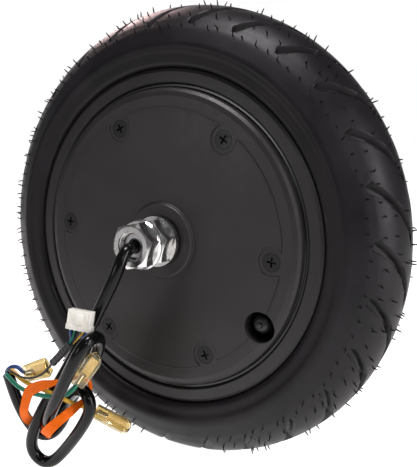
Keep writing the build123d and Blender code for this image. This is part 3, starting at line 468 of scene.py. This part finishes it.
def make_vent_hairs():
    """Thin moulding hairs in rows round the tread and along both shoulders."""
    chance = random.Random(7)
    points = []
    faces = []
    for row_y in HAIR_ROWS:
        for step in range(HAIRS_PER_ROW):
            if abs(row_y) < 12 and chance.random() < 0.5:
                continue
            angle = 360.0 * (step + chance.uniform(-0.18, 0.18)) / HAIRS_PER_ROW + row_y * 2.3
            y = row_y + chance.uniform(-0.5, 0.5)
            if groove_depth(-y, angle, GROOVE_FIRST) + groove_depth(
                    y, angle, GROOVE_FIRST + 180.0 / GROOVE_COUNT) > 0:
                continue
            if sin(radians(angle)) < -0.985:
                continue
            slope = (crown_radius(y + 0.2) - crown_radius(y - 0.2)) / 0.4
            radius = crown_radius(y)
            length = chance.uniform(1.6, 3.1)
            base = Vector(on_wheel(radius - HAIR_SUNK, y, angle))
            out = Vector((cos(radians(angle)), -slope, sin(radians(angle)))).normalized()
            lean = Vector((chance.uniform(-0.4, 0.4), chance.uniform(-0.3, 0.3),
                           chance.uniform(-0.4, 0.4)))
            tip = base + (out + lean).normalized() * (length + HAIR_SUNK)
            across = out.orthogonal().normalized()
            other = out.cross(across)
            start = len(points)
            for share, size in HAIR_RINGS:
                centre = base + (tip - base) * share
                for corner in range(HAIR_SIDES):
                    turn = 2 * pi * corner / HAIR_SIDES
                    points.append(centre + size * (across * cos(turn) + other * sin(turn)))
            points.append(tip)
            upper = start + HAIR_SIDES
            for corner in range(HAIR_SIDES):
                following = (corner + 1) % HAIR_SIDES
                faces.append((start + corner, start + following, upper + following, upper + corner))
                faces.append((upper + corner, upper + following, upper + HAIR_SIDES))
            faces.append(tuple(start + corner for corner in reversed(range(HAIR_SIDES))))
    make_piece("tyre_vent_hairs", points, faces, "tyre_rubber", "wheel")


make_tyre()
make_vent_hairs()


# ---------------------------------------------------------------- cover
STEP_RADIUS = 60.3
STEP_FACE_Y = -23.74
STEP_BEAD = 0.26
SCREW_CIRCLE = 56.2
SCREW_COUNT = 6
SCREW_FIRST = 54.6
SCALLOP = 6.4
SCALLOP_STEPS = 24
STEP_STEPS = 60
VALVE_ANGLE = -34.1
VALVE_HOLE_OFFSET = 61.1
VALVE_HOLE_RADIUS = 7.0


def step_outline():
    """The scalloped edge of the cover's raised face, as (x, z), round from the first screw."""
    cross = acos((STEP_RADIUS ** 2 + SCREW_CIRCLE ** 2 - SCALLOP ** 2)
                 / (2 * STEP_RADIUS * SCREW_CIRCLE))
    turn = atan2(STEP_RADIUS * sin(cross), STEP_RADIUS * cos(cross) - SCREW_CIRCLE)
    outline = []
    for number in range(SCREW_COUNT):
        middle = radians(SCREW_FIRST) + 2 * pi * number / SCREW_COUNT
        for step in range(SCALLOP_STEPS + 1):
            angle = middle - turn - (2 * pi - 2 * turn) * step / SCALLOP_STEPS
            outline.append((SCREW_CIRCLE * cos(middle) + SCALLOP * cos(angle),
                            SCREW_CIRCLE * sin(middle) + SCALLOP * sin(angle)))
        for step in range(1, STEP_STEPS):
            angle = middle + cross + (2 * pi / SCREW_COUNT - 2 * cross) * step / STEP_STEPS
            outline.append((STEP_RADIUS * cos(angle), STEP_RADIUS * sin(angle)))
    return outline


def make_step_edge():
    """The worn, slightly rounded edge of the raised face, left open at the valve's hole."""
    outline = step_outline()
    hole_x = VALVE_HOLE_OFFSET * cos(radians(VALVE_ANGLE))
    hole_z = VALVE_HOLE_OFFSET * sin(radians(VALVE_ANGLE))
    inside = [sqrt((x - hole_x) ** 2 + (z - hole_z) ** 2) < VALVE_HOLE_RADIUS + 0.4
              for x, z in outline]
    count = len(outline)
    start = next(step for step in range(count) if inside[step - 1] and not inside[step])
    order = [outline[(start + step) % count] for step in range(count)
             if not inside[(start + step) % count]]
    route = [Vector((x, STEP_FACE_Y, z)) for x, z in order]
    points, faces = tube_mesh(route, STEP_BEAD, 8)
    make_piece("cover_step_edge", points, faces, "rim_paint", "wheel")


make_step_edge()


# ---------------------------------------------------------------- valve cap
CAP_OFFSET = 60.2
CAP_SIDES = 72
CAP_RIB = 0.12
CAP_PROFILE = [
    (4.5, -10.2), (4.6, -14.0), (4.6, -17.2), (4.4, -18.6), (3.9, -19.9), (3.1, -20.9),
    (2.2, -21.4), (1.5, -21.55), (1.35, -21.9), (1.1, -22.3), (0.6, -22.5),
]


def make_valve_cap():
    """A domed rubber cap with a small nib and shallow grip ribs, inside the cover's round hole."""
    centre = Vector(on_wheel(CAP_OFFSET, 0.0, VALVE_ANGLE))
    points = []
    for radius, y in CAP_PROFILE:
        for side in range(CAP_SIDES):
            turn = 2 * pi * side / CAP_SIDES
            ribbed = side % 6 < 3 and -18.0 < y < -10.5
            reach = radius + (CAP_RIB if ribbed else 0.0)
            points.append(centre + Vector((reach * cos(turn), y, reach * sin(turn))))
    faces = grid_faces(len(CAP_PROFILE), CAP_SIDES)
    faces.append(tuple(reversed(range(CAP_SIDES))))
    faces.append(tuple(range(len(points) - CAP_SIDES, len(points))))
    make_piece("valve_cap_dome", points, faces, "seal_rubber", "wheel", ("valve_cap",))


make_valve_cap()


# ---------------------------------------------------------------- axle thread
THREAD_STEPS = 48               # steps in one turn


def make_thread(name, radius, depth, y_from, y_to, pitch, body, slot, inside=False):
    """A helical ridge: V-shaped turns standing out from (or into) a cylinder about Y."""
    turns = abs(y_to - y_from) / pitch
    steps = int(turns * THREAD_STEPS)
    points = []
    sign = -1 if inside else 1
    for step in range(steps + 1):
        angle = 360.0 * step / THREAD_STEPS
        y = y_from + (y_to - y_from) * step / steps
        fade = min(1.0, step / 12, (steps - step) / 12)
        for shift, height in ((-0.46, -0.15), (0.0, depth * fade), (0.46, -0.15)):
            points.append(on_wheel(radius + sign * height, y + shift * pitch, angle))
    faces = grid_faces(steps + 1, 3)
    faces.append((0, 1, 2))
    faces.append((3 * steps + 2, 3 * steps + 1, 3 * steps))
    make_piece(name, points, faces, slot, body)


make_thread("axle_thread_gap", 5.95, 0.45, -38.9, -36.1, 1.25, "stator", "steel")
make_thread("nut_thread_mouth", 6.62, 0.5, -46.5, -44.6, 1.0, "stator", "nut_plating", inside=True)


# ---------------------------------------------------------------- terminal sleeves
CLEAR_WALL = 0.4


def flat_frame(x_dir, face):
    """Three square directions: along x_dir, across it, and out towards the face."""
    along = Vector(x_dir).normalized()
    out = Vector(face)
    out = (out - along * out.dot(along)).normalized()
    return along, out.cross(along), out


def make_sleeve(name, centre, x_dir, face, length, width, depth, rib, taper, tip, replaces):
    """A thin clear pocket, with a tubular rib along one edge, open at the wire end.

    tip is the share of the length over which the closed end is rounded off."""
    along, across, out = flat_frame(x_dir, face)
    centre = Vector(centre)
    rows = 34
    sides = 44
    points = []
    for shell in (0, 1):
        inset = CLEAR_WALL if shell else 0.0
        for row in range(rows):
            share = row / (rows - 1)
            share = 1.0 - share if shell else share
            share = min(share, 0.95) if shell else share
            x = (share - 0.5) * length
            end = min(1.0, (1.0 - share) / tip)
            close = sqrt(max(0.0, 1 - (1 - end) ** 2))
            half_width = (width / 2) * (1 - taper * (1 - share)) * (0.25 + 0.75 * close)
            half_depth = (depth / 2) * (0.3 + 0.7 * close)
            mouth = 1 + 0.07 * sin(share * 9.0)
            for side in range(sides):
                turn = 2 * pi * side / sides
                flat_x = abs(cos(turn)) ** 0.7 * (1 if cos(turn) >= 0 else -1)
                flat_y = abs(sin(turn)) ** 0.85 * (1 if sin(turn) >= 0 else -1)
                swell = max(0.0, 1 - abs(rib * flat_x - 0.55) / 0.42)
                bulge = 0.5 + 0.5 * swell * swell * (3 - 2 * swell)
                ripple = 1 + 0.05 * sin(turn * 3 + share * 7)
                u = max(0.2, half_width - inset) * flat_x
                v = max(0.15, half_depth * bulge * mouth - inset) * flat_y * ripple
                points.append(centre + along * x + across * u + out * v)
    total_rows = 2 * rows
    faces = grid_faces(total_rows, sides)
    faces = [corners for corners in faces if corners[0] // sides != rows - 1]
    faces.append(tuple((rows - 1) * sides + side for side in range(sides)))
    faces.append(tuple(reversed([rows * sides + side for side in range(sides)])))
    last = (total_rows - 1) * sides
    for side in range(sides):
        following = (side + 1) % sides
        faces.append((last + side, last + following, following, side))
    make_piece(name, points, faces, "sleeve_amber", "stator", replaces)


def bevelled_box(centre, size, bevel, points, faces):
    """Adds a box with cut edges, in its own axes, to lists of points and faces."""
    shape = bmesh.new()
    bmesh.ops.create_cube(shape, size=1.0)
    for vertex in shape.verts:
        vertex.co = Vector((vertex.co[axis] * size[axis] + centre[axis] for axis in range(3)))
    bmesh.ops.bevel(shape, geom=list(shape.edges), offset=bevel, segments=2, profile=0.5,
                    affect="EDGES")
    start = len(points)
    shape.verts.index_update()
    points += [vertex.co.copy() for vertex in shape.verts]
    faces += [tuple(start + vertex.index for vertex in face.verts) for face in shape.faces]
    shape.free()


PLUG_CENTRE = Vector((-14.2, -63.8, -30.4))
PLUG_X = (0.93, 0.3, -0.12)
PLUG_Z = (0.33, -0.91, 0.12)
CONTACT_COUNT = 5
CONTACT_PITCH = 2.0
CONTACT_FIRST = -4.0
plug_along, plug_across, plug_out = flat_frame(PLUG_X, PLUG_Z)


def plug_place(point):
    """From the plug's axes (x along its contacts, y towards its mouth) to the wheel's."""
    return PLUG_CENTRE + plug_along * point[0] + plug_across * point[1] + plug_out * point[2]


def make_plug():
    """The housing: body, collar, side rails, latch and two keys."""
    points = []
    faces = []
    bevelled_box((0, 0.9, 0), (10.6, 6.8, 4.2), 0.25, points, faces)
    bevelled_box((0, -3.2, 0), (11.4, 2.4, 4.6), 0.3, points, faces)
    for x in (-4.9, 4.9):
        bevelled_box((x, 0.9, 2.15), (0.8, 6.8, 0.7), 0.15, points, faces)
    bevelled_box((0, 0.4, 2.2), (3.4, 4.6, 0.9), 0.2, points, faces)
    for x in (-3.1, 3.1):
        bevelled_box((x, 2.2, 2.15), (1.2, 3.4, 0.5), 0.12, points, faces)
    return make_piece("plug_housing", [plug_place(point) for point in points], faces,
                      "plug_plastic", "stator", ("hall_connector",))


def make_plug_contacts():
    """The five contacts' barrels, seen at the plug's wire end."""
    points = []
    faces = []
    for step in range(CONTACT_COUNT):
        bevelled_box((CONTACT_FIRST + CONTACT_PITCH * step, -4.5, 0), (1.1, 0.9, 1.6), 0.1,
                     points, faces)
    return make_piece("plug_contacts", [plug_place(point) for point in points], faces,
                      "nut_plating", "stator")


SLEEVE_FACE = (0.45, -0.85, 0.2)
make_sleeve("sleeve_green_clear", (-11.5, -63.4, -52.0), (10.5, 1.5, 14.5), SLEEVE_FACE,
            18.2, 7.6, 5.4, 1.0, 0.1, 0.3, ("terminal_sleeve_green",))
make_sleeve("sleeve_blue_clear", (-43.0, -62.0, -58.6), (19.5, -2.0, 8.0), SLEEVE_FACE,
            18.0, 9.6, 5.4, -1.0, 0.16, 0.16, ("terminal_sleeve_blue",))
make_sleeve("sleeve_yellow_clear", (-11.4, -47.6, -80.8), (13.5, 9.5, -9.5), SLEEVE_FACE,
            18.0, 7.4, 5.6, -1.0, 0.05, 0.2, ("terminal_sleeve_yellow",))


# ---------------------------------------------------------------- elastic band
BAND_HALF_WIDTH = 2.2
BAND_BACK_HALF_WIDTH = 0.9
BAND_BACK_FROM = 0.62           # shares of the band's length between which it runs behind
BAND_BACK_TO = 0.94
BAND_TAPER = 0.06
BAND_EDGE = 0.3
BAND_MIDDLE = 0.4


def make_band():
    """A flat closed strip that turns its face outwards and curls a little at its edges."""
    corners = [Vector(place) / MM for place in BAND_ROUTE]
    line = spline_line(corners, 8, closed=True)
    face = Vector((0.5, -0.85, 0.1)).normalized()
    points = []
    for step, place in enumerate(line):
        share = step / len(line)
        along = (line[(step + 1) % len(line)] - line[step - 1]).normalized()
        out = (face - along * face.dot(along)).normalized()
        across = along.cross(out)
        half = BAND_HALF_WIDTH + 0.25 * sin(step * 0.21)
        if share > BAND_BACK_FROM:
            wide = max(0.0, 1 - (share - BAND_BACK_FROM) / BAND_TAPER,
                       (share - BAND_BACK_TO) / BAND_TAPER)
            half = BAND_BACK_HALF_WIDTH + 1.3 * wide
        curl = 0.3 * sin(step * 0.37)
        near = half * 0.4
        for u, v in ((-half, -BAND_EDGE), (-near, -BAND_MIDDLE), (near, -BAND_MIDDLE),
                     (half, -BAND_EDGE), (half, BAND_EDGE), (near, BAND_MIDDLE),
                     (-near, BAND_MIDDLE), (-half, BAND_EDGE)):
            points.append(place + across * u + out * (v + curl * (u / half) ** 2))
    faces = grid_faces(len(line), 8, wrap_rows=True)
    return make_piece("band_flat", points, faces, "band_rubber", "stator", ("cable_band",))


band = make_band()

# ---------------------------------------------------------------- cords and what is on them
CABLE_WIDTH = 0.0055            # metres, like the routes
WIRE_WIDTH = 0.002
SENSOR_WIRE_WIDTH = 0.001
PLUG_WIRE_RADIUS = 0.45         # millimetres
blue_line = spline_line([Vector(place) / MM for place in BLUE_ROUTE], 8)
blue_points, blue_faces = tube_mesh(blue_line, 1.0)
blue_wire = make_piece("phase_wire_blue_stub", blue_points, blue_faces, "wire_blue", "stator",
                       ("phase_wire_blue",))

plug = make_plug()
contacts = make_plug_contacts()
sleeve_line = spline_line([Vector(place) / MM for place in HALL_SLEEVE_ROUTE], 16)
sleeve_line = sleeve_line[len(sleeve_line) // 4:]
sleeve_points, sleeve_faces = tube_mesh(sleeve_line, lambda t: 1.7 + 0.06 * sin(t * 40))
sensor_sleeve = make_piece("sensor_wire_sleeve", sleeve_points, sleeve_faces, "sleeve_black",
                           "stator", ("hall_sleeve",))
gather_along = (sleeve_line[1] - sleeve_line[0]).normalized()
gather_side = gather_along.cross(plug_out).normalized()
gather_up = gather_side.cross(gather_along)
PLUG_WIRE_SLOTS = ("wire_blue", "wire_green", "sleeve_black", "wire_yellow", "wire_blue")
for step, slot_name in enumerate(PLUG_WIRE_SLOTS):
    turn = 2 * pi * step / CONTACT_COUNT
    start = plug_place((CONTACT_FIRST + CONTACT_PITCH * step, -4.4, 0))
    end = sleeve_line[2] + 0.85 * (gather_side * cos(turn) + gather_up * sin(turn))
    lead = plug_place((CONTACT_FIRST + 1.8 * step, -6.4, 0.2))
    near = end - gather_along * 2.6
    wire_line = spline_line([start, lead, near, end], 7)
    wire_points, wire_faces = tube_mesh(wire_line, PLUG_WIRE_RADIUS, sides=10)
    make_piece(f"plug_wire_{step + 1}", wire_points, wire_faces, slot_name,
                                 "stator")

make_cord("cable_jacketed", CABLE_ROUTE, CABLE_WIDTH, "cable_jacket",
          ("motor_cable",))
make_cord("wire_yellow_lead", YELLOW_ROUTE, WIRE_WIDTH, "wire_yellow",
          ("phase_wire_yellow",))
make_cord("wire_green_lead", GREEN_ROUTE, WIRE_WIDTH, "wire_green",
          ("phase_wire_green",))
make_cord("wires_sensor", HALL_ROUTE, SENSOR_WIRE_WIDTH, "sleeve_black",
          ("hall_wires",))


# ---------------------------------------------------------------- floor and light
FLOOR_Z = -0.1081
FLOOR_SIZE = 8.0


def add_plane(name, size, place):
    """A square, level face."""
    mesh = bpy.data.meshes.new(name)
    half = size / 2
    mesh.from_pydata([(-half, -half, 0), (half, -half, 0), (half, half, 0), (-half, half, 0)], [],
                     [(0, 1, 2, 3)])
    plane = bpy.data.objects.new(name, mesh)
    bpy.context.collection.objects.link(plane)
    plane.location = place
    return plane


ground = add_plane("ground", FLOOR_SIZE, (0, 0, FLOOR_Z))
ground_material = new_material("ground_white", (0.5, 0.5, 0.5), 0.9)
ground_shader = ground_material.node_tree.nodes["Principled BSDF"]
ground_shader.inputs["Emission Color"].default_value = (1.0, 1.0, 1.0, 1.0)
# The floor glows softly beside and behind the wheel, and fades out in front of it.
GLOW = {"From Min": -0.42, "From Max": -0.075, "To Min": 0.12, "To Max": 0.98}
ground_nodes = ground_material.node_tree
ground_place = ground_nodes.nodes.new("ShaderNodeTexCoord")
ground_reach = ground_nodes.nodes.new("ShaderNodeVectorMath")
ground_reach.operation = "DOT_PRODUCT"
ground_reach.inputs[1].default_value = (0.0, 1.0, 0.0)
ground_fade = ground_nodes.nodes.new("ShaderNodeMapRange")
for socket, value in GLOW.items():
    ground_fade.inputs[socket].default_value = value
ground_fade.interpolation_type = "SMOOTHSTEP"
ground_nodes.links.new(ground_place.outputs["Object"], ground_reach.inputs[0])
ground_nodes.links.new(ground_reach.outputs["Value"], ground_fade.inputs["Value"])
ground_nodes.links.new(ground_fade.outputs["Result"], ground_shader.inputs["Emission Strength"])
ground.data.materials.append(ground_material)

# The sky is white behind the object as the camera first sees it, and a soft grey elsewhere.
world = bpy.data.worlds.new("studio")
world.use_nodes = True
sky = world.node_tree
sky_place = sky.nodes.new("ShaderNodeTexCoord")
facing = sky.nodes.new("ShaderNodeVectorMath")
facing.operation = "DOT_PRODUCT"
facing.inputs[1].default_value = (CAMERA_TARGET - CAMERA_PLACE).normalized()
SKY_SHADES = [(0.55, (0.11, 0.11, 0.115, 1.0)), (0.86, (1.0, 1.0, 1.0, 1.0))]
shade = sky.nodes.new("ShaderNodeValToRGB")
for element, (position, colour) in zip(shade.color_ramp.elements, SKY_SHADES):
    element.position = position
    element.color = colour
sky.links.new(sky_place.outputs["Generated"], facing.inputs[0])
sky.links.new(facing.outputs["Value"], shade.inputs["Fac"])
sky.links.new(shade.outputs["Color"], sky.nodes["Background"].inputs["Color"])
sky.nodes["Background"].inputs["Strength"].default_value = 1.0
bpy.context.scene.world = world


def add_area(name, place, target, size, power, colour=(1, 1, 1)):
    """A rectangular lamp, in metres and watts, turned towards its target."""
    data = bpy.data.lights.new(name, "AREA")
    data.shape = "RECTANGLE"
    data.size = size[0]
    data.size_y = size[1]
    data.energy = power
    data.color = colour
    light = bpy.data.objects.new(name, data)
    bpy.context.collection.objects.link(light)
    light.location = place
    direction = Vector(target) - Vector(place)
    light.rotation_euler = direction.to_track_quat("-Z", "Y").to_euler()


add_area("key_left", (-0.33, -0.78, 0.12), (0.02, 0, 0.02), (0.2, 0.2), 0.62)
add_area("top_narrow", (0.02, -0.2, 0.85), (0.03, 0, 0.08), (0.4, 0.16), 6.0, (1.0, 0.95, 0.99))
add_area("right_narrow", (0.95, -0.14, 0.2), (0.08, 0, 0), (0.16, 0.8), 6.0, (1.0, 0.96, 0.99))
add_area("left_behind", (-0.7, 0.5, 0.65), (0, 0, 0.08), (0.3, 0.3), 4.0, (1.0, 0.72, 0.72))
add_area("nut_side", (0.5, -0.5, 0.35), (0.0, -0.06, 0), (0.12, 0.12), 0.5)
